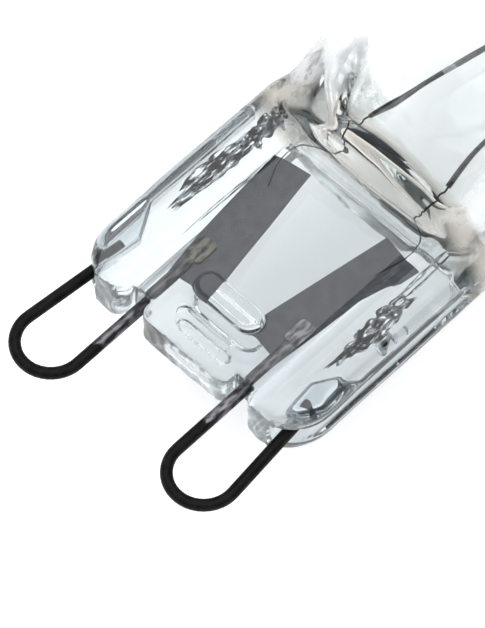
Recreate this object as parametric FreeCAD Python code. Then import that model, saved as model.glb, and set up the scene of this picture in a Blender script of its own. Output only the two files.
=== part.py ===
import FreeCAD, Part
import math
import os
from FreeCAD import Placement, Rotation, Vector

# A clear quartz halogen capsule with a pressed two-loop base, lying on its side.
# Stations x run along the lamp axis from the foot of the glass towards the dome,
# y runs across the pressed seal and z is square to it. Millimetres throughout.

# Whole lamp
overallLength = 43.0
loopReach = 5.0

# Blown bulb
bulbDiameter = 13.6
bulbWall = 1.05
domeHeight = 5.6
domeKnuckle = 4.5
domeWall = 1.2
tipDiameter = 2.6
tipHeight = 1.2
tipBlend = 0.7
tipBoreDiameter = 1.0
tipBoreDepth = 0.8

# Neck, where the round tube runs into the pressed seal
shoulderStation = 11.2
shoulderThickness = 6.0
shoulderWidth = 12.2
shoulderFlareAcross = 1.0
shoulderFlareUp = 0.9
neckEnd = 19.0
neckSteps = 6
cavityFloorStation = 13.1
cavityFloorWidth = 5.3
cavityFloorThickness = 1.6
cavityFlareAcross = 0.7
cavityFlareUp = 0.45

# Pressed seal: a thin web between two thick rails
sealWidth = 13.2
railThickness = 3.0
railEdgeRadius = 0.55
railInnerFootRadius = 0.6
railFootFlat = 0.2
railEnd = 13.4
railEndRadius = 1.6
webWidth = 7.2
webThickness = 1.9
webEdgeBevel = 0.3
webFoot = 0.85
tongueWidth = 5.0
tongueRadius = 0.5
tongueRootRadius = 0.3

# Latch bars and dimples pressed into both faces of the web
barStation = 2.95
barLength = 3.6
barWidth = 1.3
barHeight = 0.5
barEdgeBevel = 0.3
dimpleStation = 1.38
dimpleLength = 2.9
dimpleWidth = 0.62
dimpleDepth = 0.16

# Grooves in the narrow sides, which take the free ends of the loops
grooveWidth = 1.0
grooveFloorRadius = 0.4
grooveDepth = 0.65
grooveRampStart = 2.7
grooveRampEnd = 4.3
grooveRampRadius = 0.4
grooveEnd = 10.6
grooveEndRadius = 1.2
grooveRunOut = 1.1
grooveRunOutLength = 1.76

# Unfused fold left inside each rail by the pressing
foldStation = 8.0
foldLength = 7.4
foldWidth = 0.8
foldThickness = 0.5

# Contact loops
loopPitch = 9.0
loopWire = 0.55
loopBendRadius = 1.555
loopLegLean = 5.7
loopFreeEnd = 2.1
weldEnd = 4.85
weldLength = 1.25
weldWidth = 0.85
weldThickness = 0.3
weldCornerRadius = 0.2

# Sealing foils
foilLength = 7.4
foilWidth = 2.25
foilThickness = 0.04
foilLean = 9.5
foilFoot = 2.75
foilFootOffset = 2.13

# Filament with its two tails
tailWire = 0.09
tailBend = 0.45
tailWeld = (8.5, 3.15)
tailElbow = (10.5, 3.95)
tailWaist = (12.4, 2.5)
coilStart = (13.8, 2.35)
coilDiameter = 0.28
apexStation = 24.6
apexRadius = 0.7

# Support that holds the apex of the filament from the dome
supportWire = 0.25
supportBend = 0.5
supportTip = 0.45
supportAnchor = 1.2

# Clearances
sealGap = 0.03
hookGap = 0.03

bulbRadius = bulbDiameter / 2
boreRadius = bulbRadius - bulbWall
glassLength = overallLength - loopReach
domeTop = glassLength - tipHeight
domeStart = domeTop - domeHeight
boreTop = domeTop - domeWall
wireRadius = loopWire / 2
foilFace = foilThickness / 2
tailLevel = foilFace + tailWire / 2
axisX = Vector(1, 0, 0)
tiny = 1e-6


def corner(before, point, after, radius):
    """Return the start, middle and end of the arc that rounds a corner."""
    back = (before - point).normalize()
    ahead = (after - point).normalize()
    half = back.getAngle(ahead) / 2
    inward = (back + ahead).normalize()
    run = radius / math.tan(half)
    centre = point + inward * (radius / math.sin(half))
    return point + back * run, centre - inward * radius, point + ahead * run


def outline(corners):
    """Return a closed wire through corners (x, y, radius) in the plane z = 0."""
    points = [Vector(x, y, 0) for x, y, _ in corners]
    edges = []
    ends = []
    for i, (_, _, radius) in enumerate(corners):
        if radius > 0:
            start, middle, end = corner(points[i - 1], points[i], points[(i + 1) % len(points)], radius)
            edges.append(Part.Arc(start, middle, end).toShape())
        else:
            start = end = points[i]
        ends.append((start, end))
    for i, (start, _) in enumerate(ends):
        last = ends[i - 1][1]
        if last.distanceToPoint(start) > tiny:
            edges.append(Part.LineSegment(last, start).toShape())
    return Part.Wire(Part.__sortEdges__(edges))


def plate(corners, low, high):
    """Extrude an outline between two heights."""
    face = Part.Face(outline(corners))
    face.translate(Vector(0, 0, low))
    return face.extrude(Vector(0, 0, high - low))


def rounded(solid, radius, wanted):
    """Round the edges of a solid that the test picks."""
    return solid.makeFillet(radius, [edge for edge in solid.Edges if wanted(edge)])


def bevelled(solid, size, wanted):
    """Bevel the edges of a solid that the test picks."""
    return solid.makeChamfer(size, [edge for edge in solid.Edges if wanted(edge)])


def liesAt(edge, height):
    """Tell whether a whole edge lies at one height."""
    box = edge.BoundBox
    return abs(box.ZMin - height) < tiny and abs(box.ZMax - height) < tiny


def wireAlong(path, diameter):
    """Give joined lines and arcs a round section."""
    spans = []
    for edge in path:
        start = edge.valueAt(edge.FirstParameter)
        heading = edge.tangentAt(edge.FirstParameter)
        disc = Part.Face(Part.Wire(Part.Circle(start, heading, diameter / 2).toShape()))
        if isinstance(edge.Curve, Part.Circle):
            turn = math.degrees(edge.LastParameter - edge.FirstParameter)
            spans.append(disc.revolve(edge.Curve.Center, edge.Curve.Axis, turn))
        else:
            spans.append(disc.extrude(heading * edge.Length))
    return spans[0].fuse(spans[1:])


def roundedPath(points, radius):
    """Return straight runs through the points, joined by tangent arcs."""
    edges = []
    reached = points[0]
    for before, point, after in zip(points, points[1:], points[2:]):
        start, middle, end = corner(before, point, after, radius)
        edges.append(Part.LineSegment(reached, start).toShape())
        edges.append(Part.Arc(start, middle, end).toShape())
        reached = end
    edges.append(Part.LineSegment(reached, points[-1]).toShape())
    return edges


def mirrored(shape):
    """Return the copy on the other side of the lamp's centre plane."""
    return shape.mirror(Vector(0, 0, 0), Vector(0, 1, 0))


def flipped(shape):
    """Return the copy on the other face of the seal."""
    return shape.mirror(Vector(0, 0, 0), Vector(0, 0, 1))


def line(start, end):
    return Part.LineSegment(start, end).toShape()


def section(station, halfWidth, halfThickness):
    """Return an upright section of the neck: an ellipse, or a circle at its round end."""
    if halfThickness < halfWidth - tiny:
        curve = Part.Ellipse(Vector(0, 0, 0), halfWidth, halfThickness)
    else:
        curve = Part.Circle(Vector(0, 0, 0), Vector(0, 0, 1), halfWidth)
    wire = Part.Wire(curve.toShape())
    upright = Rotation(Vector(0, 1, 0), Vector(0, 0, 1), Vector(1, 0, 0), "ZXY")
    wire.Placement = Placement(Vector(station, 0, 0), upright)
    return wire


def neck(floor, width, thickness, radius, widthFlare, thicknessFlare):
    """Loft from the flattened floor of a tube to its round section."""
    sections = []
    for step in range(neckSteps):
        along = step / neckSteps
        opening = math.sin(math.pi / 2 * along)
        halfWidth = width / 2 + (radius - width / 2) * opening ** widthFlare
        halfThickness = thickness / 2 + (radius - thickness / 2) * opening ** thicknessFlare
        sections.append(section(floor + (neckEnd - floor) * along, halfWidth, halfThickness))
    sections.append(section(neckEnd, radius, radius))
    return Part.makeLoft(sections, True, True)


def arcAbout(centre, start, end):
    """Return the arc about a centre from one point to another, under half a turn."""
    radius = start.distanceToPoint(centre)
    middle = centre + (start - centre + end - centre).normalize() * radius
    return Part.Arc(start, middle, end).toShape()


def dishedEnd(radius, top, knuckle):
    """Return the half profile of a tube up to where its knuckle meets its crown.

    The knuckle is the tight arc beside the tube, and the crown is the wide one
    across the axis. The crown's centre and its first point come with the edges."""
    height = top - domeStart
    crown = (height ** 2 - knuckle ** 2 + (radius - knuckle) ** 2) / (2 * (height - knuckle))
    knuckleCentre = Vector(domeStart, radius - knuckle, 0)
    crownCentre = axisX * (top - crown)
    meet = crownCentre + (knuckleCentre - crownCentre).normalize() * crown
    rim = Vector(neckEnd, radius, 0)
    shoulder = Vector(domeStart, radius, 0)
    edges = [line(axisX * neckEnd, rim), line(rim, shoulder), arcAbout(knuckleCentre, shoulder, meet)]
    return edges, crownCentre, meet


def turned(edges, end):
    """Close a half profile along the lamp axis and revolve it."""
    profile = Part.Wire(edges + [line(end, axisX * neckEnd)])
    return Part.Face(profile).revolve(Vector(0, 0, 0), axisX, 360)


def bulb():
    """The outside of the round stretch, the dome and the sealed exhaust tip."""
    edges, centre, meet = dishedEnd(bulbRadius, domeTop, domeKnuckle)
    tipRadius = tipDiameter / 2
    tipCentre = axisX * (glassLength - tipRadius)
    apart = tipCentre.x - centre.x
    toCrown = meet.distanceToPoint(centre) + tipBlend
    toTip = tipRadius + tipBlend
    along = (apart ** 2 + toCrown ** 2 - toTip ** 2) / (2 * apart)
    blendCentre = centre + Vector(along, math.sqrt(toCrown ** 2 - along ** 2), 0)
    root = blendCentre + (centre - blendCentre).normalize() * tipBlend
    flank = blendCentre + (tipCentre - blendCentre).normalize() * tipBlend
    end = axisX * glassLength
    edges += [arcAbout(centre, meet, root), arcAbout(blendCentre, root, flank),
              arcAbout(tipCentre, flank, end)]
    return turned(edges, end)


def bore():
    """The space inside the bulb, with the end of the exhaust hole."""
    edges, centre, meet = dishedEnd(boreRadius, boreTop, domeKnuckle - bulbWall)
    holeRadius = tipBoreDiameter / 2
    crown = meet.distanceToPoint(centre)
    mouth = centre + Vector(math.sqrt(crown ** 2 - holeRadius ** 2), holeRadius, 0)
    holeCentre = axisX * (boreTop + tipBoreDepth - holeRadius)
    rim = holeCentre + Vector(0, holeRadius, 0)
    end = holeCentre + axisX * holeRadius
    edges += [arcAbout(centre, meet, mouth), line(mouth, rim), arcAbout(holeCentre, rim, end)]
    return turned(edges, end)


def rail():
    """One thick side rail of the seal, with its outer groove left out."""
    inner = webWidth / 2
    outer = sealWidth / 2
    width = outer - inner
    footRadius = width - railInnerFootRadius - railFootFlat
    endRadius = min(railEndRadius, width - railEdgeRadius - railFootFlat)
    corners = [(0, inner, railInnerFootRadius), (0, outer, footRadius),
               (railEnd, outer, endRadius), (railEnd, inner, 0)]
    half = railThickness / 2
    solid = plate(corners, -half, half)
    return rounded(solid, railEdgeRadius, lambda edge: liesAt(edge, half) or liesAt(edge, -half))


def web():
    """The thin web with the tongue that stands between the loops' legs."""
    inner = webWidth / 2 + railEdgeRadius
    tongue = tongueWidth / 2
    corners = [(webFoot, -inner, 0), (webFoot, -tongue, tongueRootRadius), (0, -tongue, tongueRadius),
               (0, tongue, tongueRadius), (webFoot, tongue, tongueRootRadius), (webFoot, inner, 0),
               (cavityFloorStation, inner, 0), (cavityFloorStation, -inner, 0)]
    half = webThickness / 2
    solid = plate(corners, -half, half)

    def atFoot(edge):
        return (liesAt(edge, half) or liesAt(edge, -half)) and edge.BoundBox.XMax <= webFoot + tiny

    return bevelled(solid, webEdgeBevel, atFoot)


def stadium(station, length, width, low, high):
    """A slot-ended block across the lamp."""
    side = Vector(width / 2, 0, 0)
    left = Vector(station, (length - width) / 2, low)
    right = Vector(station, -left.y, low)
    leftTip = Vector(station, length / 2, low)
    rightTip = Vector(station, -leftTip.y, low)
    edges = [line(right - side, left - side), Part.Arc(left - side, leftTip, left + side).toShape(),
             line(left + side, right + side), Part.Arc(right + side, rightTip, right - side).toShape()]
    return Part.Face(Part.Wire(edges)).extrude(Vector(0, 0, high - low))


def latchBar():
    """The raised bar on the front face of the web."""
    top = webThickness / 2 + barHeight
    block = stadium(barStation, barLength, barWidth, 0, top)
    return bevelled(block, barEdgeBevel, lambda edge: liesAt(edge, top))


def sideGroove():
    """What the groove in one narrow side takes away."""
    outside = sealWidth / 2 + grooveRunOut
    floor = sealWidth / 2 - grooveDepth
    before = -loopReach
    legFloor = grooveWidth / 2
    corners = [(before, outside, 0), (before, legAt(before) - legFloor, 0),
               (grooveRampStart, legAt(grooveRampStart) - legFloor, grooveRampRadius),
               (grooveRampEnd, floor, grooveEndRadius), (grooveEnd, floor, grooveEndRadius),
               (grooveEnd + grooveRunOutLength, outside, 0)]
    half = grooveWidth / 2
    block = plate(corners, -half, half)

    def onFloor(edge):
        box = edge.BoundBox
        level = liesAt(edge, half) or liesAt(edge, -half)
        return level and box.XLength > tiny and box.YMax < outside - tiny

    return rounded(block, grooveFloorRadius, onFloor)


def fold():
    """The lens-shaped void in the middle of one rail."""
    railMiddle = (webWidth / 2 + sealWidth / 2 - grooveDepth) / 2
    reach = Vector(foldLength / 2, 0, 0)
    bulge = Vector(0, foldWidth / 2, 0)
    centre = Vector(foldStation, railMiddle, -foldThickness / 2)
    sides = [Part.Arc(centre - reach, centre + bulge, centre + reach).toShape(),
             Part.Arc(centre + reach, centre - bulge, centre - reach).toShape()]
    return Part.Face(Part.Wire(sides)).extrude(Vector(0, 0, foldThickness))


def hairpin(centre, across, radius, lean, shortEnd, longEnd):
    """Return a straight leg, a bend and a leaning leg, as joined edges.

    across points from the straight leg to the leaning one, and the bend opens
    towards the dome. shortEnd and longEnd are the stations of the two ends."""
    angle = math.radians(lean)
    straight = centre - across * radius
    bottom = centre - axisX * radius
    out = centre + across * (radius * math.cos(angle)) + axisX * (radius * math.sin(angle))
    rise = longEnd - out.x
    end = out + axisX * rise - across * (rise * math.tan(angle))
    return [line(Vector(shortEnd, straight.y, straight.z), straight),
            Part.Arc(straight, bottom, out).toShape(), line(out, end)]


bendStation = wireRadius + loopBendRadius - loopReach


def legAt(station):
    """Return how far out the free leg of a loop lies at a station."""
    angle = math.radians(loopLegLean)
    startX = bendStation + loopBendRadius * math.sin(angle)
    startY = loopPitch / 2 + loopBendRadius * math.cos(angle)
    return startY - (station - startX) * math.tan(angle)


def contactLoop(margin=0.0):
    """A loop: welded leg, bend and free leg. margin grows it into its pocket."""
    centre = Vector(bendStation, loopPitch / 2, 0)
    path = hairpin(centre, Vector(0, 1, 0), loopBendRadius, loopLegLean,
                   weldEnd - weldLength / 2, loopFreeEnd)
    wire = wireAlong(path, loopWire + 2 * margin)

    across = loopPitch / 2 - loopBendRadius
    side = weldWidth / 2 + margin
    start = weldEnd - weldLength - margin
    end = weldEnd + margin
    seat = foilFace
    corners = [(start, across - side, weldCornerRadius), (end, across - side, weldCornerRadius),
               (end, across + side, weldCornerRadius), (start, across + side, weldCornerRadius)]
    spade = plate(corners, seat, seat + weldThickness + margin)
    foilCorner = foilFoot - foilWidth / 2 * math.sin(math.radians(foilLean)) - sealGap
    under = Part.makeBox(weldEnd, 2 * side, loopWire, Vector(foilCorner, across - side, seat - loopWire))
    return wire.cut(under).fuse(spade).removeSplitter()


def foil(margin=0.0):
    """A flat sealing foil that leans outwards towards the bulb."""
    box = Part.makeBox(foilLength + 2 * margin, foilWidth + 2 * margin, foilThickness + 2 * margin,
                       Vector(-margin, -foilWidth / 2 - margin, -foilFace - margin))
    box.rotate(Vector(0, 0, 0), Vector(0, 0, 1), foilLean)
    box.translate(Vector(foilFoot, foilFootOffset, 0))
    return box


def tail(margin=0.0):
    """The bare wire from the weld on the foil to the start of the coil."""
    points = [Vector(x, y, tailLevel) for x, y in (tailWeld, tailElbow, tailWaist, coilStart)]
    return wireAlong(roundedPath(points, tailBend), tailWire + 2 * margin)


def coil():
    """The coiled stretch, as the solid that its turns fill."""
    start = Vector(coilStart[0], coilStart[1], tailLevel)
    centre = Vector(apexStation, 0, tailLevel)
    toCentre = centre - start
    slope = math.atan2(-toCentre.y, toCentre.x) - math.asin(apexRadius / toCentre.Length)
    leave = centre + Vector(math.sin(slope), math.cos(slope), 0) * apexRadius
    top = centre + axisX * apexRadius
    back = Vector(leave.x, -leave.y, leave.z)
    finish = Vector(start.x, -start.y, start.z)
    path = [line(start, leave), Part.Arc(leave, top, back).toShape(), line(back, finish)]
    return wireAlong(path, coilDiameter)


def filament():
    """The coil and both tails, which are one wire."""
    return coil().fuse([tail(), mirrored(tail())]).removeSplitter()


def filamentSupport(margin=0.0):
    """A hooked wire: its bend carries the apex, its stem ends in the dome."""
    bendTop = apexStation + apexRadius - coilDiameter / 2 - hookGap
    centre = Vector(bendTop - supportWire / 2 + supportBend, 0, 0)
    stemEnd = boreTop + supportAnchor
    lean = math.degrees(math.atan2(supportBend, stemEnd - centre.x))
    path = hairpin(centre, Vector(0, 0, -1), supportBend, lean, centre.x + supportTip, stemEnd)
    return wireAlong(path, supportWire + 2 * margin)


def envelope():
    """The quartz: bulb, neck and pressed seal in one piece."""
    throat = neck(shoulderStation, shoulderWidth, shoulderThickness, bulbRadius,
                  shoulderFlareAcross, shoulderFlareUp)
    bars = [latchBar(), flipped(latchBar())]
    outside = bulb().fuse([throat, rail(), mirrored(rail()), web()] + bars)
    funnel = neck(cavityFloorStation, cavityFloorWidth, cavityFloorThickness, boreRadius,
                  cavityFlareAcross, cavityFlareUp)
    cavity = bore().fuse(funnel)

    face = webThickness / 2
    dimple = stadium(dimpleStation, dimpleLength, dimpleWidth, face - dimpleDepth, face + barHeight)
    taken = [cavity, dimple, flipped(dimple), filamentSupport(sealGap)]
    for piece in (sideGroove(), fold(), contactLoop(sealGap), foil(sealGap), tail(sealGap)):
        taken += [piece, mirrored(piece)]
    return outside.cut(taken).removeSplitter()


pieces = {
    "quartz_envelope": envelope(),
    "contact_loop_left": contactLoop(),
    "contact_loop_right": mirrored(contactLoop()),
    "foil_left": foil(),
    "foil_right": mirrored(foil()),
    "filament": filament(),
    "filament_support": filamentSupport(),
}

# The origin lies on the lamp axis, level with the outer ends of both loops
toOrigin = axisX * loopReach

os.makedirs("parts", exist_ok=True)
for name, shape in pieces.items():
    shape.translate(toOrigin)
    shape.exportStep(os.path.join("parts", name + ".step"))
    state = "valid" if shape.isValid() else "BROKEN"
    print(name, len(shape.Solids), "solid", round(shape.Volume, 4), "mm3", state)
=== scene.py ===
import itertools
import math
import random

import bpy
import numpy as np
from mathutils import Matrix, Vector


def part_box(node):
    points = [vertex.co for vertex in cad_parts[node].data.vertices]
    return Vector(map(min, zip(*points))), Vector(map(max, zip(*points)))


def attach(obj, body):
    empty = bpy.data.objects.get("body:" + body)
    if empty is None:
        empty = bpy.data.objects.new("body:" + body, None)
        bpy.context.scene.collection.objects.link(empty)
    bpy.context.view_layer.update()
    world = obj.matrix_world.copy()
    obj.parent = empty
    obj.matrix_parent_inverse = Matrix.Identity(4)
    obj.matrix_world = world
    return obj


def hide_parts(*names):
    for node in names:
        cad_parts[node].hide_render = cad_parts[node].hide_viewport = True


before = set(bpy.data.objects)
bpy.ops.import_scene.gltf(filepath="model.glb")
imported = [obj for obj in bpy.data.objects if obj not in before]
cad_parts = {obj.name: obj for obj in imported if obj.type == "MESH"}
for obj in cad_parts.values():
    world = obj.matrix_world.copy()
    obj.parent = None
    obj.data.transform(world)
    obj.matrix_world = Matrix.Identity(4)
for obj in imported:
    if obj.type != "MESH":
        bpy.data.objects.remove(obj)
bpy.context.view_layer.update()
print("frame loaded")

# Everything below is in millimetres until it becomes a mesh. The lamp lies along X with its
# contact loops at the origin and its dome at the far end, and the seal's faces look up and down.
mm = 0.001
glassLow, glassHigh = (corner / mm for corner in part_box("quartz_envelope"))
bulbRadius = glassHigh.y
floorLevel = -bulbRadius


def srgb(code):  # sRGB hex to linear
    parts = [int(code[i:i + 2], 16) / 255 for i in (1, 3, 5)]
    return [p / 12.92 if p <= 0.04045 else ((p + 0.055) / 1.055) ** 2.4 for p in parts] + [1.0]


def addNode(tree, kind, given=None, **settings):
    made = tree.nodes.new(kind)
    for name, value in settings.items():
        setattr(made, name, value)
    for name, value in (given or {}).items():
        socket = made.inputs[name]
        if isinstance(value, bpy.types.NodeSocket):
            tree.links.new(value, socket)
        else:
            socket.default_value = value
    return made


def newMaterial(name):
    material = bpy.data.materials.new(name)
    material.use_nodes = True
    material.node_tree.nodes.clear()
    return material, material.node_tree


def newPiece(name, verts, faces, material=None):
    mesh = bpy.data.meshes.new(name)
    mesh.from_pydata([Vector(v) * mm for v in verts], [], faces)
    mesh.update()
    piece = bpy.data.objects.new(name, mesh)
    bpy.context.scene.collection.objects.link(piece)
    if material:
        mesh.materials.append(material)
    return piece


# Camera: where the photograph was taken from, in the lamp's own frame
photo = {
    "width": 485,
    "height": 628,
    "aim": Vector((13.75, 0, 0)),  # the point that the lens axis passes
    "aimPixel": (324.8, 231.8),  # and where the photograph shows it
    "bearing": 222.84,
    "elevation": 58.82,
    "roll": 1.255,
    "distance": 234.8,
    "focalPixels": 5510.4,
}


def makeCamera():
    bearing, elevation, roll = (math.radians(photo[k]) for k in ("bearing", "elevation", "roll"))
    away = Vector((math.cos(elevation) * math.cos(bearing), math.cos(elevation) * math.sin(bearing),
                   math.sin(elevation)))
    level = Vector((-math.sin(bearing), math.cos(bearing), 0))
    upright = away.cross(level)
    right = level * math.cos(roll) + upright * math.sin(roll)
    up = upright * math.cos(roll) - level * math.sin(roll)
    offX = (photo["width"] / 2 - photo["aimPixel"][0]) / photo["focalPixels"]
    offY = (photo["aimPixel"][1] - photo["height"] / 2) / photo["focalPixels"]
    back = (away - right * offX - up * offY).normalized()
    right = up.cross(back).normalized()
    up = back.cross(right)
    turn = Matrix((right, up, back)).transposed().to_4x4()
    data = bpy.data.cameras.new("camera")
    data.sensor_fit = "HORIZONTAL"
    data.lens = data.sensor_width * photo["focalPixels"] / photo["width"]
    data.clip_start = 0.01
    camera = bpy.data.objects.new("camera", data)
    camera.matrix_world = Matrix.Translation((photo["aim"] + away * photo["distance"]) * mm) @ turn
    bpy.context.scene.collection.objects.link(camera)
    bpy.context.scene.camera = camera


makeCamera()
print("camera placed")


# Quartz: a field that is negative inside the glass, meshed and then put exactly on the surface
seal = {
    "railInner": 3.6,
    "railOuter": 6.6,
    "railHalf": 1.5,
    "railEnd": 18.4,
    "railEdge": (0.22, 1.0),  # on the inside and on the outside
    "railLean": (0.8, 1.5),  # of the left and right inner walls, outwards for each millimetre up
    "railCorners": (0.6, 2.2, 0.3, 1.6),  # foot inside, foot outside, end inside, end outside
    "webHalf": 0.95,
    "webFoot": 5.85,
    "webEdge": 0.15,
    "webCorner": 0.1,
    "webRunsOn": (1.0, 0.5),  # how far its flat reaches into the neck and into the rails
    "tongueHalf": 2.5,
    "tongueCorner": 0.5,
    "tongueRunsOn": 3.0,
    "barX": 7.95,
    "barReach": 1.15,
    "barHalf": 0.65,
    "barTop": 1.45,
    "barEdge": 0.3,
    "dimpleX": 6.38,
    "dimpleReach": 1.14,
    "dimpleHalf": 0.31,
    "dimpleFloor": 0.66,
    "dimpleMelt": (0.16, 0.06),  # at its floor and at its rim
    "melt": 0.22,  # how far neighbouring forms run into each other
    "fineMelt": 0.14,
}
grooves = {
    "half": 0.5,
    "floor": 5.95,
    "round": 0.3,
    "legX": 5.0,
    "legFloor": 5.25,
    "legSlope": -0.1,
    "rampFrom": 7.7,
    "rampTo": 9.3,
    "end": 15.6,
    "runOut": 1.76,
    "runOutRise": 1.75,
}
bulb = {
    "neckFrom": 16.2,
    "neckTo": 24.0,
    "neckHalf": (6.1, 3.0),
    "neckFlare": (1.0, 0.9),
    "lip": 0.35,
    "neckMelt": 0.5,
    "domeFrom": 36.2,
    "top": 41.8,
    "knuckle": 4.5,
    "tipRadius": 1.3,
    "tipMelt": 0.9,
    "bore": 5.75,
    "floorX": 18.1,
    "floorHalf": (2.65, 0.8),
    "floorFlare": (0.7, 0.62),
    "floorMelt": 0.3,
    "boreTop": 40.6,
    "boreKnuckle": 3.45,
    "hole": 0.5,  # what is left of the exhaust tube's bore
    "holeTop": 41.4,
    "holeDepth": 1.5,
    "holeMelt": 0.3,
}
folds = [  # crumpled voids in the rails, where the glass didn't fuse: middle and half sizes
    {"middle": (15.8, 5.15, 0.3), "half": (1.5, 0.42, 0.34), "crumple": 0.24},
    {"middle": (11.6, -5.1, 0.2), "half": (1.8, 0.44, 0.38), "crumple": 0.27},
]
crumples = {
    "length": 0.4,  # of one wave in their walls
    "seed": 5,
    "gridReach": 1.8,  # times the half sizes, so that no crumple touches the grid's edge
    "gridStep": 0.075,
}
bundles = [  # flat threads of void drawn out along the rails, with the half width of the thickest
    {"ends": (9.5, 16.0), "middle": (5.3, 0.15), "spread": (0.3, 0.35), "count": 11, "half": 0.2,
     "seed": 4},
    {"ends": (8.0, 13.0), "middle": (-4.85, 0.0), "spread": (0.2, 0.2), "count": 3, "half": 0.12,
     "seed": 8},
    {"ends": (12.4, 16.8), "middle": (-4.75, 0.1), "spread": (0.2, 0.2), "count": 3, "half": 0.1,
     "seed": 15},
    {"ends": (8.4, 15.8), "middle": (4.3, 0.3), "spread": (0.12, 0.2), "count": 4, "half": 0.07,
     "seed": 23},
]
threads = {
    "sides": 8,
    "rings": 44,
    "flatness": 0.4,  # height over width
    "length": (0.45, 0.9),  # least and most, as a share of the bundle's length
    "girth": (0.4, 1.0),  # and of the thickest one's width
    "taper": 0.6,
    "beats": ((0.25, 3.1), (0.15, 7.3)),  # how much the width changes, and how fast along the thread
    "sway": ((0.07, 0.9), (0.06, 1.1)),  # how far it wanders across and up, and how fast
}
ripples = {  # molten waves on the outside of the glass
    "depth": 0.025,
    "waves": ((3.5, 0.4), (1.2, 0.5)),  # length, and how much it is drawn out along the lamp
    "fade": 6.0,  # over this length they die out towards the blown bulb
    "footDepth": 0.03,
    "footLength": 0.55,
    "footTo": 6.4,
    "footFade": 1.0,
}
quartzGrid = {  # start, end and spacing of the grid lines, closer together where the form is finer
    "along": ((4.6, 19.4, 0.13), (19.4, 40.2, 0.42), (40.2, 43.3, 0.16)),
    "across": ((0, 3.3, 0.18), (3.3, 7.0, 0.13)),
    "up": ((0, 1.8, 0.11), (1.8, 7.0, 0.25)),
    "corrections": 3,
    "reach": 0.1,  # the furthest that one correction moves a point
}
anyTurn = 6.28  # a random phase lies between none and about a full turn


def smoothMin(a, b, melt):
    mix = np.clip(0.5 + 0.5 * (b - a) / melt, 0, 1)
    return b + (a - b) * mix - melt * mix * (1 - mix)


def smoothMax(a, b, melt):
    return -smoothMin(-a, -b, melt)


def ripple(x, y, z, length, seed):  # gentle waves of about that length, from -1 to 1
    rng = random.Random(seed)
    waves = 5
    total = 0
    for _ in range(waves):
        heading = Vector([rng.gauss(0, 1) for _ in range(3)]).normalized()
        pace = 2 * math.pi / (length * rng.uniform(0.7, 1.6))
        phase = rng.uniform(0, anyTurn)
        total = total + np.sin((x * heading.x + y * heading.y + z * heading.z) * pace + phase)
    return total / waves


def rounded(over, above, radius):  # two distances joined round an edge of that radius
    beyond = np.hypot(np.maximum(over, 0), np.maximum(above, 0))
    return beyond + np.minimum(np.maximum(over, above), 0) - radius


def roundedBox(x, y, low, high, corners):
    middleX, middleY = (low[0] + high[0]) / 2, (low[1] + high[1]) / 2
    atFoot, isLow = x < middleX, y < middleY
    radius = np.where(atFoot, np.where(isLow, corners[0], corners[1]),
                      np.where(isLow, corners[2], corners[3]))
    overX = np.abs(x - middleX) - (high[0] - low[0]) / 2 + radius
    overY = np.abs(y - middleY) - (high[1] - low[1]) / 2 + radius
    return rounded(overX, overY, radius)


def slab(flat, z, half, edge):
    return rounded(flat + edge, np.abs(z) - half + edge, edge)


def tube(x, y, z, start, end, half, flare, radius):  # flat at its start, round at its end
    along = np.clip((x - start) / (end - start), 0, 1)
    opening = np.sin(along * math.pi / 2)
    wide = half[0] + (radius - half[0]) * opening ** flare[0]
    tall = half[1] + (radius - half[1]) * opening ** flare[1]
    reach = np.maximum(np.hypot(y / wide, z / tall), 1e-6)
    slope = np.maximum(np.hypot(y / wide ** 2, z / tall ** 2) / reach, 1e-6)
    return (reach - 1) / slope


def dished(x, radial, radius, top, knuckle):  # a closed end: a wide crown and a tight knuckle
    height = top - bulb["domeFrom"]
    crown = (height ** 2 - knuckle ** 2 + (radius - knuckle) ** 2) / (2 * (height - knuckle))
    inCrown = radial * (bulb["domeFrom"] - top + crown) < (x - top + crown) * (radius - knuckle)
    atCrown = np.hypot(x - top + crown, radial) - crown
    return np.where(inCrown, atCrown, np.hypot(x - bulb["domeFrom"], radial - radius + knuckle) - knuckle)


def grooveField(x, y, z):
    side = np.abs(y)
    g = grooves
    leg = g["legFloor"] + (x - g["legX"]) * g["legSlope"]
    legEnd = g["legFloor"] + (g["rampFrom"] - g["legX"]) * g["legSlope"]
    upRamp = np.clip((x - g["rampFrom"]) / (g["rampTo"] - g["rampFrom"]), 0, 1)
    ramp = legEnd + (g["floor"] - legEnd) * upRamp
    rise = np.maximum(x - g["end"], 0) * g["runOutRise"] / g["runOut"]
    floor = np.where(x < g["rampFrom"], leg, ramp) + rise
    return smoothMax(np.abs(z) - g["half"], floor - side, g["round"])


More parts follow.
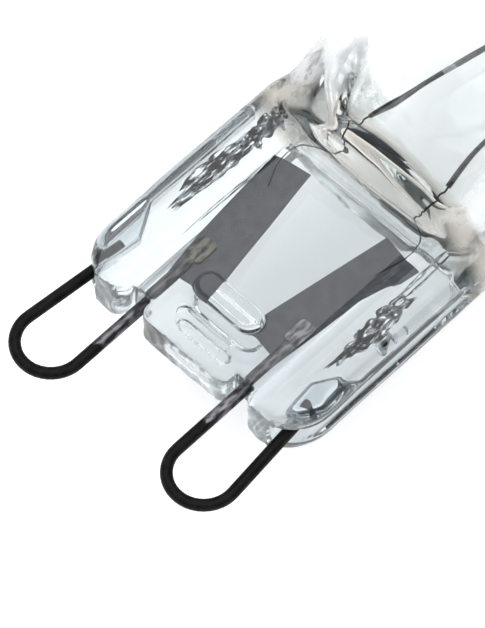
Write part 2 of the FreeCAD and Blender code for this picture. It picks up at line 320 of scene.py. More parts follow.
def sealField(x, y, z):
    side = np.abs(y)
    s = seal
    outward = np.clip((side - s["railInner"]) / (s["railOuter"] - s["railInner"]), 0, 1)
    edge = s["railEdge"][0] + (s["railEdge"][1] - s["railEdge"][0]) * outward
    lean = np.where(y > 0, *s["railLean"]) * np.clip(np.abs(z) - s["webHalf"], 0, 1) * (1 - outward)
    rails = slab(roundedBox(x, side - lean, (glassLow.x, s["railInner"]), (s["railEnd"], s["railOuter"]),
                            s["railCorners"]), z, s["railHalf"], edge)
    padEnd, padSide = s["railEnd"] + s["webRunsOn"][0], s["railInner"] + s["webRunsOn"][1]
    pad = roundedBox(x, y, (s["webFoot"], -padSide), (padEnd, padSide), (s["webCorner"],) * 4)
    tongueEnd = s["webFoot"] + s["tongueRunsOn"]
    tongue = roundedBox(x, y, (glassLow.x, -s["tongueHalf"]), (tongueEnd, s["tongueHalf"]),
                        (s["tongueCorner"],) * 4)
    web = slab(smoothMin(pad, tongue, s["melt"]), z, s["webHalf"], s["webEdge"])
    acrossBar = np.hypot(x - s["barX"], np.maximum(side - s["barReach"], 0)) - s["barHalf"]
    web = smoothMin(web, slab(acrossBar, z, s["barTop"], s["barEdge"]), s["fineMelt"])
    acrossDimple = np.hypot(x - s["dimpleX"], np.maximum(side - s["dimpleReach"], 0)) - s["dimpleHalf"]
    atFloor, atRim = s["dimpleMelt"]
    web = smoothMax(web, -smoothMax(acrossDimple, s["dimpleFloor"] - np.abs(z), atFloor), atRim)
    return smoothMin(rails, web, s["melt"])


def glassField(x, y, z):
    b = bulb
    outside = tube(x, y, z, b["neckFrom"], b["neckTo"], b["neckHalf"], b["neckFlare"], bulbRadius)
    outside = smoothMax(outside, b["neckFrom"] - x, b["lip"])
    radial = np.hypot(y, z)
    outside = np.where(x < b["domeFrom"], outside, dished(x, radial, bulbRadius, b["top"], b["knuckle"]))
    tip = np.hypot(x - glassHigh.x + b["tipRadius"], radial) - b["tipRadius"]
    outside = smoothMin(outside, tip, b["tipMelt"])

    body = smoothMin(outside, sealField(x, y, z), b["neckMelt"])
    body = smoothMax(body, -grooveField(x, y, z), seal["fineMelt"])

    r = ripples
    pressed = np.clip((b["neckTo"] - x) / r["fade"], 0, 1)  # the blown bulb is smoother than the seal
    atFoot = np.clip((r["footTo"] - x) / r["footFade"], 0, 1)
    (long, drawnLong), (short, drawnShort) = r["waves"]
    waves = ripple(x * drawnLong, y, z, long, 1) + ripple(x * drawnShort, y, z, short, 2)
    body = body + pressed * r["depth"] * waves
    body = body + atFoot * r["footDepth"] * ripple(x, y, z, r["footLength"], 3)
    bore = tube(x, y, z, b["floorX"], b["neckTo"], b["floorHalf"], b["floorFlare"], b["bore"])
    bore = smoothMax(bore, b["floorX"] - x, b["floorMelt"])
    bore = np.where(x < b["domeFrom"], bore, dished(x, radial, b["bore"], b["boreTop"], b["boreKnuckle"]))
    holeEnds = np.maximum(x - b["holeTop"], b["boreTop"] - b["holeDepth"] - x)
    bore = smoothMin(bore, np.maximum(radial - b["hole"], holeEnds), b["holeMelt"])
    return np.maximum(body, -bore)


def gridLines(spans):
    lines = []
    for start, end, spacing in spans:
        lines.append(np.linspace(start, end, max(2, round((end - start) / spacing) + 1))[:-1])
    lines.append([spans[-1][1]])
    return np.concatenate(lines)


def bothSides(lines):
    return np.concatenate([-lines[:0:-1], lines])


def meshField(field, xs, ys, zs):
    # one vertex in each grid cell that the surface crosses, and a quad round each grid edge
    # that it crosses
    values = field(xs[:, None, None], ys[None, :, None], zs[None, None, :])
    inside = values < 0
    shape = tuple(n - 1 for n in values.shape)
    corners = list(itertools.product((0, 1), repeat=3))

    def shifted(grid, offset):
        return grid[tuple(slice(o, o + n) for o, n in zip(offset, shape))]

    count = sum(shifted(inside, c).astype(np.int8) for c in corners)
    cells = np.argwhere((count > 0) & (count < 8))
    index = -np.ones(shape, np.int64)
    index[tuple(cells.T)] = np.arange(len(cells))
    lines = (xs, ys, zs)
    total = np.zeros((len(cells), 3))
    hits = np.zeros(len(cells))
    for a, b in itertools.combinations(corners, 2):
        if sum(abs(p - q) for p, q in zip(a, b)) != 1:
            continue
        at, to = cells + a, cells + b
        first, last = values[tuple(at.T)], values[tuple(to.T)]
        crossed = (first < 0) != (last < 0)
        share = (first / np.where(crossed, first - last, 1))[crossed]
        start = np.stack([lines[k][at[crossed, k]] for k in range(3)], 1)
        end = np.stack([lines[k][to[crossed, k]] for k in range(3)], 1)
        total[crossed] += start + (end - start) * share[:, None]
        hits[crossed] += 1
    points = total / hits[:, None]

    quads = []
    for axis in range(3):
        ahead, side, up = np.eye(3, dtype=int)[[axis, (axis + 1) % 3, (axis + 2) % 3]]
        here = inside[tuple(slice(0, n - a) for n, a in zip(inside.shape, ahead))]
        there = inside[tuple(slice(a, n) for n, a in zip(inside.shape, ahead))]
        edges = np.argwhere(here != there)
        leaving = here[tuple(edges.T)]
        ring = [index[tuple((edges - move).T)] for move in (0 * side, side, side + up, up)]
        quad = np.stack(ring, 1)
        quad[~leaving] = quad[~leaving, ::-1]
        quads.append(quad)
    return points, np.concatenate(quads)


def slopeOf(field, points, step=0.01):
    moves = np.eye(3) * step
    return np.stack([(field(*(points + m).T) - field(*(points - m).T)) / (2 * step) for m in moves], 1)


def crumpleOf(fold):  # the walls of a crumpled void, which face into it
    middle, half = (np.array(fold[k]) for k in ("middle", "half"))
    c = crumples

    def field(*place):
        reach = np.sqrt(sum(((p - m) / h) ** 2 for p, m, h in zip(place, middle, half)))
        return (1 - reach) * min(half) - fold["crumple"] * ripple(*place, c["length"], c["seed"])

    lines = [np.arange(m - c["gridReach"] * h, m + c["gridReach"] * h, c["gridStep"])
             for m, h in zip(middle, half)]
    points, quads = meshField(field, *lines)
    normals = slopeOf(field, points)
    normals /= np.linalg.norm(normals, axis=1)[:, None]
    return points.tolist(), normals.tolist(), quads.tolist()


def threadsOf(bundle):  # fine closed tubes, which face inwards too
    t = threads
    rng = random.Random(bundle["seed"])
    sides, rings, flatness = t["sides"], t["rings"], t["flatness"]
    (swell, swellPace), (flutter, flutterPace) = t["beats"]
    (across, acrossPace), (up, upPace) = t["sway"]
    points, normals, quads = [], [], []
    for _ in range(bundle["count"]):
        first, last = bundle["ends"]
        length = (last - first) * rng.uniform(*t["length"])
        start = rng.uniform(first, last - length)
        y, z = (m + s * rng.uniform(-1, 1) for m, s in zip(bundle["middle"], bundle["spread"]))
        turns = [rng.uniform(0, anyTurn) for _ in range(3)]
        radius = bundle["half"] * rng.uniform(*t["girth"])
        base = len(points)
        for ring in range(rings + 1):
            share = ring / rings
            x = start + length * share
            beat = (1 + swell * math.sin(x * swellPace + turns[2])
                    + flutter * math.sin(x * flutterPace + turns[0]))
            reach = radius * max(math.sin(math.pi * share), 0.001) ** t["taper"] * beat
            middle = Vector((x, y + across * math.sin(x * acrossPace + turns[0]),
                             z + up * math.sin(x * upPace + turns[1])))
            for side in range(sides):
                angle = side / sides * 2 * math.pi
                cosine, sine = math.cos(angle), math.sin(angle)
                points.append(middle + Vector((0, cosine, flatness * sine)) * reach)
                normals.append(-Vector((0, flatness * cosine, sine)).normalized())
            if ring:
                row = base + ring * sides
                quads += [(row + s, row + (s + 1) % sides, row - sides + (s + 1) % sides, row - sides + s)
                          for s in range(sides)]
        quads += [tuple(base + s for s in range(sides)),
                  tuple(base + rings * sides + s for s in reversed(range(sides)))]
    return points, normals, quads


def makeQuartz(glass, foldPaintedReflection):
    g = quartzGrid
    points, quads = meshField(glassField, gridLines(g["along"]), bothSides(gridLines(g["across"])),
                              bothSides(gridLines(g["up"])))
    for _ in range(g["corrections"]):
        slope = slopeOf(glassField, points)
        size = np.maximum((slope ** 2).sum(1), 0.05)
        points -= slope * np.clip(glassField(*points.T) / size, -g["reach"], g["reach"])[:, None]
    normals = slopeOf(glassField, points)
    normals = (normals / np.linalg.norm(normals, axis=1)[:, None]).tolist()
    points, quads = points.tolist(), quads.tolist()
    glassCount = len(quads)
    voids = [crumpleOf(fold) for fold in folds] + [threadsOf(bundle) for bundle in bundles]
    for more, facing, walls in voids:
        quads += [tuple(k + len(points) for k in wall) for wall in walls]
        points += more
        normals += facing
    piece = newPiece("quartz_body", points, quads, glass)
    # the walls of the voids take the fold material, whose colour is painted reflection
    piece.data.materials.append(foldPaintedReflection)
    slots = [int(k >= glassCount) for k in range(len(quads))]
    piece.data.polygons.foreach_set("material_index", slots)
    piece.data.shade_smooth()
    piece.data.normals_split_custom_set_from_vertices(normals)
    print("quartz", len(points), "points", len(quads), "quads")
    return piece


# Fused quartz, blown and pressed hot: clear and bright, greyer where light runs through much of it,
# with molten ripples, a grey tint on the seal, a warm beige band at the shoulder, pitted feet and a milky
# bloom of silica at the neck's corners, where the burners' heat was greatest
quartzFinish = {
    "clear": "#FDFFFF",
    "pressed": "#DDE3E6",  # grey tint of the seal, which makes it darker than the clear bulb
    "warmOnSeal": "#D5CFC5",  # tint of the shoulder's band on the seal's side
    "warmOnBulb": "#DDD8D0",  # and on the bulb's side
    "depths": "#CDD5D7",  # tint of the light that runs far through the glass
    "absorption": 0.045,  # for each millimetre
    "ior": 1.458,
    "rippleLength": 1.1,
    "rippleDepth": 0.03,
    "rippleBump": 0.1,
    "pitLength": 0.16,
    "pitDepth": 0.02,
    "footTo": 6.3,
    "footFade": 0.5,
    "bandFrom": 16.0,
    "bandTo": 17.3,
    "bandMargin": 1.0,  # the tints change inside the band and this far on each side of it
    "bandStart": ((0.85, "pressed"), (1.05, "warmOnSeal")),  # millimetres after the first margin begins
    "bandEnd": ((1.1, "warmOnBulb"), (0.8, "clear")),  # millimetres before the second one ends
    "bloomAlong": ((15.8, 16.8), (19.2, 21.0)),  # fades in over the first span and out over the second
    "bloomAcross": (3.6, 5.0),
    "bloomGrain": 0.9,
    "bloomPatches": (0.25, 0.55),  # noise levels between which a patch fades in
    "bloomHaze": 0.62,  # clearness that a full bloom takes away
    "bloomRoughness": 0.42,
}


def quartzMaterial():
    f = quartzFinish
    material, tree = newMaterial("fused quartz")
    place = addNode(tree, "ShaderNodeTexCoord").outputs["Object"]
    axes = addNode(tree, "ShaderNodeSeparateXYZ", {"Vector": place}).outputs
    along = axes["X"]
    waves = addNode(tree, "ShaderNodeTexNoise", {
        "Vector": place, "Scale": 1 / (f["rippleLength"] * mm), "Detail": 2.0})
    pits = addNode(tree, "ShaderNodeTexNoise", {
        "Vector": place, "Scale": 1 / (f["pitLength"] * mm), "Detail": 4.0})
    bump = addNode(tree, "ShaderNodeBump", {
        "Height": waves.outputs[0], "Strength": f["rippleBump"], "Distance": f["rippleDepth"] * mm})
    atFoot = addNode(tree, "ShaderNodeMapRange", {
        "Value": along, "From Min": (f["footTo"] - f["footFade"]) * mm, "From Max": f["footTo"] * mm,
        "To Min": 1.0, "To Max": 0.0})
    pitted = addNode(tree, "ShaderNodeBump", {
        "Height": pits.outputs[0], "Strength": atFoot.outputs[0], "Distance": f["pitDepth"] * mm,
        "Normal": bump.outputs[0]})

    margin = f["bandMargin"]
    band = addNode(tree, "ShaderNodeValToRGB", {"Fac": addNode(tree, "ShaderNodeMapRange", {
        "Value": along, "From Min": (f["bandFrom"] - margin) * mm,
        "From Max": (f["bandTo"] + margin) * mm}).outputs[0]})
    ramp = band.color_ramp
    ramp.elements[0].color, ramp.elements[1].color = srgb(f["pressed"]), srgb(f["clear"])
    span = f["bandTo"] - f["bandFrom"] + 2 * margin
    for at, tint in f["bandStart"] + tuple((span - before, tint) for before, tint in f["bandEnd"]):
        ramp.elements.new(at / span).color = srgb(f[tint])

    across = addNode(tree, "ShaderNodeMath", {0: axes["Y"]}, operation="ABSOLUTE").outputs[0]
    (rise, risen), (fall, fallen) = f["bloomAlong"]
    least, most = f["bloomPatches"]
    bloom = addNode(tree, "ShaderNodeMapRange", {
        "Value": addNode(tree, "ShaderNodeTexNoise", {
            "Vector": place, "Scale": 1 / (f["bloomGrain"] * mm), "Detail": 3.0}).outputs[0],
        "From Min": least, "From Max": most}).outputs[0]
    for value, low, high in ((along, rise, risen), (along, fallen, fall), (across, *f["bloomAcross"])):
        there = addNode(tree, "ShaderNodeMapRange", {
            "Value": value, "From Min": low * mm, "From Max": high * mm}, interpolation_type="SMOOTHSTEP")
        bloom = addNode(tree, "ShaderNodeMath", {0: bloom, 1: there.outputs[0]},
                        operation="MULTIPLY").outputs[0]
    clarity = addNode(tree, "ShaderNodeMath", {0: bloom, 1: -f["bloomHaze"], 2: 1.0},
                      operation="MULTIPLY_ADD")
    frost = addNode(tree, "ShaderNodeMath", {0: bloom, 1: f["bloomRoughness"]}, operation="MULTIPLY")
    glass = addNode(tree, "ShaderNodeBsdfPrincipled", {
        "Base Color": band.outputs[0], "Roughness": frost.outputs[0], "IOR": f["ior"],
        "Transmission Weight": clarity.outputs[0], "Normal": pitted.outputs[0]})
    grey = addNode(tree, "ShaderNodeVolumeAbsorption", {
        "Color": srgb(f["depths"]), "Density": f["absorption"] / mm})
    addNode(tree, "ShaderNodeOutputMaterial", {"Surface": glass.outputs[0], "Volume": grey.outputs[0]})
    return material


# Walls of the unfused folds, which look like crumpled silver paper: a metal mirror whose colour, from
# nearly black to bright, is painted reflection in place of the reflection that the glass gives at these
# walls
foldFinish = {
    # colours of painted reflection, from nearly black to bright
    "tones": ((0.44, "#141517"), (0.6, "#D6D8DA")),  # noise levels and their colours
    "grain": 0.26,
    "drawn": 0.4,  # scale of the grain along the lamp, below 1 where it is drawn out
    "bump": 0.6,
    "bumpDepth": 0.06,
}


def foldMaterial():
    f = foldFinish
    material, tree = newMaterial("fold walls with painted reflection")
    place = addNode(tree, "ShaderNodeTexCoord").outputs["Object"]
    drawn = addNode(tree, "ShaderNodeMapping", {
        "Vector": place, "Scale": (f["drawn"], 1.0, 1.0)}).outputs[0]
    crumpleAndReflection = addNode(tree, "ShaderNodeTexNoise", {
        "Vector": drawn, "Scale": 1 / (f["grain"] * mm), "Detail": 4.0})
    # painted reflection: the same noise colours the walls from nearly black to bright and crumples them
    tone = addNode(tree, "ShaderNodeValToRGB", {"Fac": crumpleAndReflection.outputs[0]})
    for element, (at, code) in zip(tone.color_ramp.elements, f["tones"]):
        element.position, element.color = at, srgb(code)
    bump = addNode(tree, "ShaderNodeBump", {
        "Height": crumpleAndReflection.outputs[0], "Strength": f["bump"], "Distance": f["bumpDepth"] * mm})
    shader = addNode(tree, "ShaderNodeBsdfPrincipled", {
        "Base Color": tone.outputs[0], "Roughness": 0.15, "Metallic": 1.0, "Normal": bump.outputs[0]})
    addNode(tree, "ShaderNodeOutputMaterial", {"Surface": shader.outputs[0]})
    return material


# Molybdenum wire: black oxide where it met the air hot, bare grey metal beside the glass,
# pinched flat and crumpled where it is welded to the foil
contactFinish = {
    "left": {"bareFrom": 3.0, "bare": ("#343336", "#7C7B7F"), "weld": ("#22221C", "#8C897B")},
    "right": {"bareFrom": 3.5, "bare": ("#343336", "#8A888C"), "weld": ("#3A3A3D", "#ACACB0")},
    "oxide": ("#020202", "#0E0D0D"),
    "toneAt": (0.4, 0.6),  # noise levels of the darker and the lighter colour
    "grain": 0.22,
    "drawn": 0.35,
    "ragged": 1.4,  # how far the grain moves the oxide's edge
    "bareFade": (0.6, 0.8),  # beyond bareFrom
    "innerLegs": (4.5, 4.6),  # only the legs nearer to the middle are bare
    "weldFrom": 8.45,
    "weldFade": 0.2,
    "bump": 0.4,
    "weldBump": 0.6,  # on top of bump
    "bumpDepth": 0.15,
}


def contactMaterial(side):
    f, own = contactFinish, contactFinish[side]
    material, tree = newMaterial("contact wire " + side)
    place = addNode(tree, "ShaderNodeTexCoord").outputs["Object"]
    drawn = addNode(tree, "ShaderNodeMapping", {
        "Vector": place, "Scale": (f["drawn"], 1.0, 1.0)}).outputs[0]
    grain = addNode(tree, "ShaderNodeTexNoise", {
        "Vector": drawn, "Scale": 1 / (f["grain"] * mm), "Detail": 6.0})
    axes = addNode(tree, "ShaderNodeSeparateXYZ", {"Vector": place}).outputs
    along = axes["X"]
    ragged = addNode(tree, "ShaderNodeMath", {0: grain.outputs[0], 1: f["ragged"] * mm, 2: along},
                     operation="MULTIPLY_ADD")
    low, high = f["innerLegs"]
    inner = addNode(tree, "ShaderNodeMapRange", {
        "Value": addNode(tree, "ShaderNodeMath", {0: axes["Y"]}, operation="ABSOLUTE").outputs[0],
        "From Min": low * mm, "From Max": high * mm, "To Min": 1.0, "To Max": 0.0})
    low, high = (own["bareFrom"] + fade for fade in f["bareFade"])
    started = addNode(tree, "ShaderNodeMapRange", {
        "Value": ragged.outputs[0], "From Min": low * mm, "From Max": high * mm})
    bare = addNode(tree, "ShaderNodeMath", {0: started.outputs[0], 1: inner.outputs[0]},
                   operation="MULTIPLY")
    tones = []
    for pair in (f["oxide"], own["bare"], own["weld"]):
        tone = addNode(tree, "ShaderNodeValToRGB", {"Fac": grain.outputs[0]})
        for element, at, code in zip(tone.color_ramp.elements, f["toneAt"], pair):
            element.position, element.color = at, srgb(code)
        tones.append(tone.outputs[0])
    weld = addNode(tree, "ShaderNodeMapRange", {
        "Value": along, "From Min": (f["weldFrom"] - f["weldFade"]) * mm, "From Max": f["weldFrom"] * mm})
    colour = tones[0]
    for share, tone in ((bare, tones[1]), (weld, tones[2])):
        mixed = addNode(tree, "ShaderNodeMix", data_type="RGBA")
        for socket, value in ((0, share.outputs[0]), (6, colour), (7, tone)):
            tree.links.new(value, mixed.inputs[socket])
        colour = mixed.outputs[2]
    strength = addNode(tree, "ShaderNodeMath", {0: weld.outputs[0], 1: f["weldBump"], 2: f["bump"]},
                       operation="MULTIPLY_ADD")
    bump = addNode(tree, "ShaderNodeBump", {
        "Height": grain.outputs[0], "Strength": strength.outputs[0], "Distance": f["bumpDepth"] * mm})
    shader = addNode(tree, "ShaderNodeBsdfPrincipled", {
        "Base Color": colour, "Roughness": 0.5, "Metallic": bare.outputs[0], "Normal": bump.outputs[0],
        "Specular IOR Level": 0.12})
    addNode(tree, "ShaderNodeOutputMaterial", {"Surface": shader.outputs[0]})
    return material


# Rolled molybdenum foil, etched thin at its edges: dull dark grey with faint rolling marks and dents
foilFinish = {
    "dark": "#2E3036",
    "light": "#6C6D74",
    "grain": 0.45,
    "dent": 0.4,
    "dentDepth": 0.08,
    "streak": 0.08,
    "drawn": 0.15,
    "mark": 0.3,
    "markDepth": 0.01,
}


def foilMaterial():
    f = foilFinish
    material, tree = newMaterial("molybdenum foil")
    place = addNode(tree, "ShaderNodeTexCoord").outputs["Object"]
    clouds = addNode(tree, "ShaderNodeTexNoise", {
        "Vector": place, "Scale": 1 / (f["grain"] * mm), "Detail": 5.0})
    tone = addNode(tree, "ShaderNodeValToRGB", {"Fac": clouds.outputs[0]})
    for element, code in zip(tone.color_ramp.elements, (f["dark"], f["light"])):
        element.color = srgb(code)
    drawn = addNode(tree, "ShaderNodeMapping", {
        "Vector": place, "Scale": (f["drawn"], 1.0, 1.0)}).outputs[0]
    streaks = addNode(tree, "ShaderNodeTexNoise", {
        "Vector": drawn, "Scale": 1 / (f["streak"] * mm), "Detail": 3.0})
    marks = addNode(tree, "ShaderNodeBump", {
        "Height": streaks.outputs[0], "Strength": f["mark"], "Distance": f["markDepth"] * mm})
    dents = addNode(tree, "ShaderNodeBump", {
        "Height": clouds.outputs[0], "Strength": f["dent"], "Distance": f["dentDepth"] * mm,
        "Normal": marks.outputs[0]})
    shader = addNode(tree, "ShaderNodeBsdfPrincipled", {
        "Base Color": tone.outputs[0], "Roughness": 0.5, "Metallic": 0.5, "Normal": dents.outputs[0]})
    addNode(tree, "ShaderNodeOutputMaterial", {"Surface": shader.outputs[0]})
    return material


# Drawn tungsten, wound tight: dark grey, with stretches along the coil painted middle grey and pale as
# painted sheen
tungstenFinish = {
    "dark": "#17181A",
    "middle": "#505254",
    "pale": "#A8ABAB",
    "from": 19.0,
    "to": 30.5,
    # painted sheen: the middle and pale stretches along the dark grey coil
    "sheenStretches": ((0.16, "middle"), (0.22, "dark"), (0.31, "pale"), (0.37, "middle"), (0.47, "dark"),
                  (0.62, "middle"), (0.7, "pale"), (0.8, "dark")),  # where each begins, as a share
}


def tungstenMaterial():
    f = tungstenFinish
    material, tree = newMaterial("drawn tungsten")
    place = addNode(tree, "ShaderNodeTexCoord").outputs["Object"]
    along = addNode(tree, "ShaderNodeMapRange", {
        "Value": addNode(tree, "ShaderNodeSeparateXYZ", {"Vector": place}).outputs["X"],
        "From Min": f["from"] * mm, "From Max": f["to"] * mm})
    tone = addNode(tree, "ShaderNodeValToRGB", {"Fac": along.outputs[0]})
    tone.color_ramp.interpolation = "CONSTANT"
    for element in tone.color_ramp.elements:
        element.color = srgb(f["dark"])
    # painted sheen laid over the dark grey wire, stretch by stretch along the coil
    for at, shade in f["sheenStretches"]:
        tone.color_ramp.elements.new(at).color = srgb(f[shade])
    shader = addNode(tree, "ShaderNodeBsdfPrincipled", {
        "Base Color": tone.outputs[0], "Roughness": 0.35, "Metallic": 0.85})
    addNode(tree, "ShaderNodeOutputMaterial", {"Surface": shader.outputs[0]})
    return material


# Drawn molybdenum support wire, brighter than the foil, with fine marks of the die along it
supportFinish = {"dark": "#6F7074", "light": "#A3A4A8", "grain": 0.05, "drawn": 0.1}


def supportMaterial():
    f = supportFinish
    material, tree = newMaterial("drawn molybdenum")
    place = addNode(tree, "ShaderNodeTexCoord").outputs["Object"]
    drawn = addNode(tree, "ShaderNodeMapping", {
        "Vector": place, "Scale": (f["drawn"], 1.0, 1.0)}).outputs[0]
    grain = addNode(tree, "ShaderNodeTexNoise", {
        "Vector": drawn, "Scale": 1 / (f["grain"] * mm), "Detail": 3.0})
    tone = addNode(tree, "ShaderNodeValToRGB", {"Fac": grain.outputs[0]})
    for element, code in zip(tone.color_ramp.elements, (f["dark"], f["light"])):
        element.color = srgb(code)
    shader = addNode(tree, "ShaderNodeBsdfPrincipled", {
        "Base Color": tone.outputs[0], "Roughness": 0.3, "Metallic": 0.9})
    addNode(tree, "ShaderNodeOutputMaterial", {"Surface": shader.outputs[0]})
    return material


quartzLook = quartzMaterial()
foilLook = foilMaterial()
tungstenLook = tungstenMaterial()
supportLook = supportMaterial()


def dress(node, material):
    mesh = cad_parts[node].data
    mesh.materials.clear()
    mesh.materials.append(material)


dress("contact_loop_left", contactMaterial("left"))
dress("contact_loop_right", contactMaterial("right"))
dress("foil_left", foilLook)
dress("foil_right", foilLook)
dress("filament_support", supportLook)
print("metal dressed")

quartzPiece = makeQuartz(quartzLook, foldMaterial())
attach(quartzPiece, "root")
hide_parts("quartz_envelope")
print("quartz made")


# Filament: one wire, welded to both foils, bent round the shoulder and wound over its middle
filament = {
    "level": 0.065,  # above the seal's middle plane
    "weldEnd": (13.5, 3.15),
    "tail": [(14.4, 3.58), (15.2, 3.9), (15.9, 3.72), (16.6, 3.08), (17.3, 2.58), (17.9, 2.36),
             (18.4, 2.3), (18.55, 2.44), (18.8, 2.35)],
    "apex": 29.6,
    "apexRadius": 0.7,
    "apexSteps": 16,
    "coilDiameter": 0.28,
    "coilWire": 0.06,
    "pitch": 0.072,
    "stepsPerTurn": 12,
    "wireSides": 6,
    "tailWire": 0.09,
}


def coilPath():
    f = filament
    start = Vector((*f["tail"][-1], f["level"]))
    centre = Vector((f["apex"], 0, f["level"]))
    across = centre - start
    slope = math.atan2(-across.y, across.x) - math.asin(f["apexRadius"] / across.length)
    turn = math.pi / 2 - slope
    angles = (slope + 2 * turn * k / f["apexSteps"] for k in range(f["apexSteps"] + 1))
    arc = [centre + Vector((math.sin(a), math.cos(a), 0)) * f["apexRadius"] for a in angles]
    return [start] + arc + [Vector((start.x, -start.y, start.z))]


def curveFrom(name, points, kind="POLY"):
    curve = bpy.data.curves.new(name, "CURVE")
    curve.dimensions = "3D"
    spline = curve.splines.new(kind)
    spline.points.add(len(points) - 1)
    for point, place in zip(spline.points, points):
        point.co = (*(Vector(place) * mm), 1)
    if kind == "NURBS":
        spline.order_u = 3
        spline.use_endpoint_u = True
    made = bpy.data.objects.new(name, curve)
    bpy.context.scene.collection.objects.link(made)
    return made


def windingTree():  # winds a wire round a path, a fixed number of points to each turn
    tree = bpy.data.node_groups.new("winding", "GeometryNodeTree")
    face = tree.interface
    face.new_socket("Geometry", in_out="INPUT", socket_type="NodeSocketGeometry")
    for name in ("Pitch", "Coil Radius", "Wire Radius"):
        face.new_socket(name, in_out="INPUT", socket_type="NodeSocketFloat")
    face.new_socket("Material", in_out="INPUT", socket_type="NodeSocketMaterial")
    face.new_socket("Geometry", in_out="OUTPUT", socket_type="NodeSocketGeometry")
    given = addNode(tree, "NodeGroupInput").outputs
    stepsPerTurn = filament["stepsPerTurn"]
    step = addNode(tree, "ShaderNodeMath", {0: given["Pitch"], 1: stepsPerTurn}, operation="DIVIDE")
    path = addNode(tree, "GeometryNodeResampleCurve", {
        "Curve": given["Geometry"], "Length": step.outputs[0]}, mode="LENGTH")
    angle = addNode(tree, "ShaderNodeMath", {
        0: addNode(tree, "GeometryNodeInputIndex").outputs[0], 1: 2 * math.pi / stepsPerTurn},
        operation="MULTIPLY")
    ahead = addNode(tree, "GeometryNodeInputTangent").outputs[0]
    normal = addNode(tree, "GeometryNodeInputNormal").outputs[0]
    around = addNode(tree, "ShaderNodeVectorRotate", {
        "Vector": normal, "Axis": ahead, "Angle": angle.outputs[0]}, rotation_type="AXIS_ANGLE")
    offset = addNode(tree, "ShaderNodeVectorMath", {
        0: around.outputs[0], "Scale": given["Coil Radius"]}, operation="SCALE")
    wound = addNode(tree, "GeometryNodeSetPosition", {
        "Geometry": path.outputs[0], "Offset": offset.outputs[0]})
    ring = addNode(tree, "GeometryNodeCurvePrimitiveCircle", {
        "Resolution": filament["wireSides"], "Radius": given["Wire Radius"]})
    wire = addNode(tree, "GeometryNodeCurveToMesh", {
        "Curve": wound.outputs[0], "Profile Curve": ring.outputs[0], "Fill Caps": True})
    real = addNode(tree, "GeometryNodeRealizeInstances", {"Geometry": wire.outputs[0]})
    finished = addNode(tree, "GeometryNodeSetMaterial", {
        "Geometry": real.outputs[0], "Material": given["Material"]})
    addNode(tree, "NodeGroupOutput", {"Geometry": finished.outputs[0]})
    return tree


def plainMesh(source, name):  # what a curve or a node tree makes, as a mesh object of its own
    bpy.context.view_layer.update()
    made = bpy.data.meshes.new_from_object(source.evaluated_get(bpy.context.evaluated_depsgraph_get()))
    bpy.data.objects.remove(source)
    piece = bpy.data.objects.new(name, made)
    bpy.context.scene.collection.objects.link(piece)
    return piece


def makeFilament(material):
    f = filament
    path = curveFrom("coil_path", coilPath())
    tree = windingTree()
    winding = path.modifiers.new("winding", "NODES")
    winding.node_group = tree
    values = {"Pitch": f["pitch"] * mm, "Coil Radius": (f["coilDiameter"] - f["coilWire"]) / 2 * mm,
              "Wire Radius": f["coilWire"] / 2 * mm, "Material": material}
    for socket in tree.interface.items_tree:
        if socket.name in values and socket.in_out == "INPUT":
            winding[socket.identifier] = values[socket.name]
    pieces = [plainMesh(path, "filament_coil")]
    for side in (1, -1):
        points = [(x, side * y, f["level"]) for x, y in [f["weldEnd"]] + f["tail"]]
        tail = curveFrom("tail", points, "NURBS")
        tail.data.bevel_depth = f["tailWire"] / 2 * mm
        tail.data.bevel_resolution = 2
        tail.data.use_fill_caps = True
        tail.data.materials.append(material)
        pieces.append(plainMesh(tail, "filament_tail_" + ("left" if side > 0 else "right")))
    return pieces


filamentPieces = makeFilament(tungstenLook)
for piece in filamentPieces:
    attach(piece, "root")
    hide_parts("filament")
print("filament wound", [len(piece.data.polygons) for piece in filamentPieces])


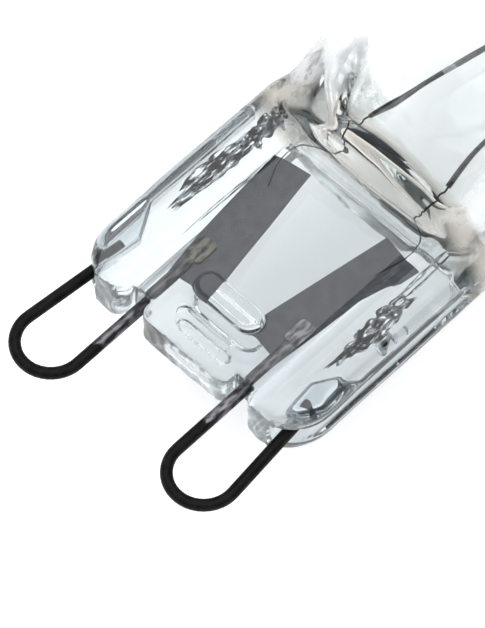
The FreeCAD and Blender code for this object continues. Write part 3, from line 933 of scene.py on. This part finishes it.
# Studio: a softly glowing white table, one large soft light above it and dim surroundings, which
# give the glass its edges
studio = {
    "table": "#F6F6F6",
    "glow": 0.35,
    "reach": 600,
    "lamp": {"place": (0.0, 0.0, 0.65), "size": 1.3, "power": 9.0, "aim": (0.018, 0, 0)},  # in metres
    "horizon": "#A4A6A8",
    "zenith": "#8A8C8E",
}


def makeStudio():
    material, tree = newMaterial("table")
    shader = addNode(tree, "ShaderNodeBsdfPrincipled", {
        "Base Color": srgb(studio["table"]), "Roughness": 0.6, "Emission Color": srgb("#FFFFFF"),
        "Emission Strength": studio["glow"]})
    addNode(tree, "ShaderNodeOutputMaterial", {"Surface": shader.outputs[0]})
    reach = studio["reach"]
    corners = [(-reach, -reach), (reach, -reach), (reach, reach), (-reach, reach)]
    floor = newPiece("floor", [(*corner, floorLevel) for corner in corners], [(0, 1, 2, 3)], material)

    lamp = studio["lamp"]
    data = bpy.data.lights.new("soft light", "AREA")
    data.shape = "DISK"
    data.size = lamp["size"]
    data.energy = lamp["power"]
    light = bpy.data.objects.new("soft light", data)
    light.location = lamp["place"]
    aim = Vector(lamp["aim"]) - light.location
    light.rotation_euler = aim.to_track_quat("-Z", "Y").to_euler()
    bpy.context.scene.collection.objects.link(light)

    world = bpy.data.worlds.new("surroundings")
    bpy.context.scene.world = world
    world.use_nodes = True
    tree = world.node_tree
    tree.nodes.clear()
    ahead = addNode(tree, "ShaderNodeTexCoord").outputs["Generated"]
    height = addNode(tree, "ShaderNodeSeparateXYZ", {"Vector": ahead})
    shade = addNode(tree, "ShaderNodeValToRGB", {"Fac": height.outputs["Z"]})
    for element, code in zip(shade.color_ramp.elements, (studio["horizon"], studio["zenith"])):
        element.color = srgb(code)
    sky = addNode(tree, "ShaderNodeBackground", {"Color": shade.outputs[0], "Strength": 1.0})
    addNode(tree, "ShaderNodeOutputWorld", {"Surface": sky.outputs[0]})
    bpy.context.scene.view_settings.view_transform = "Standard"
    paths = bpy.context.scene.cycles  # light turns many times inside clear glass
    paths.max_bounces = 32
    paths.glossy_bounces = 24
    paths.transmission_bounces = 32


makeStudio()
print("studio lit")
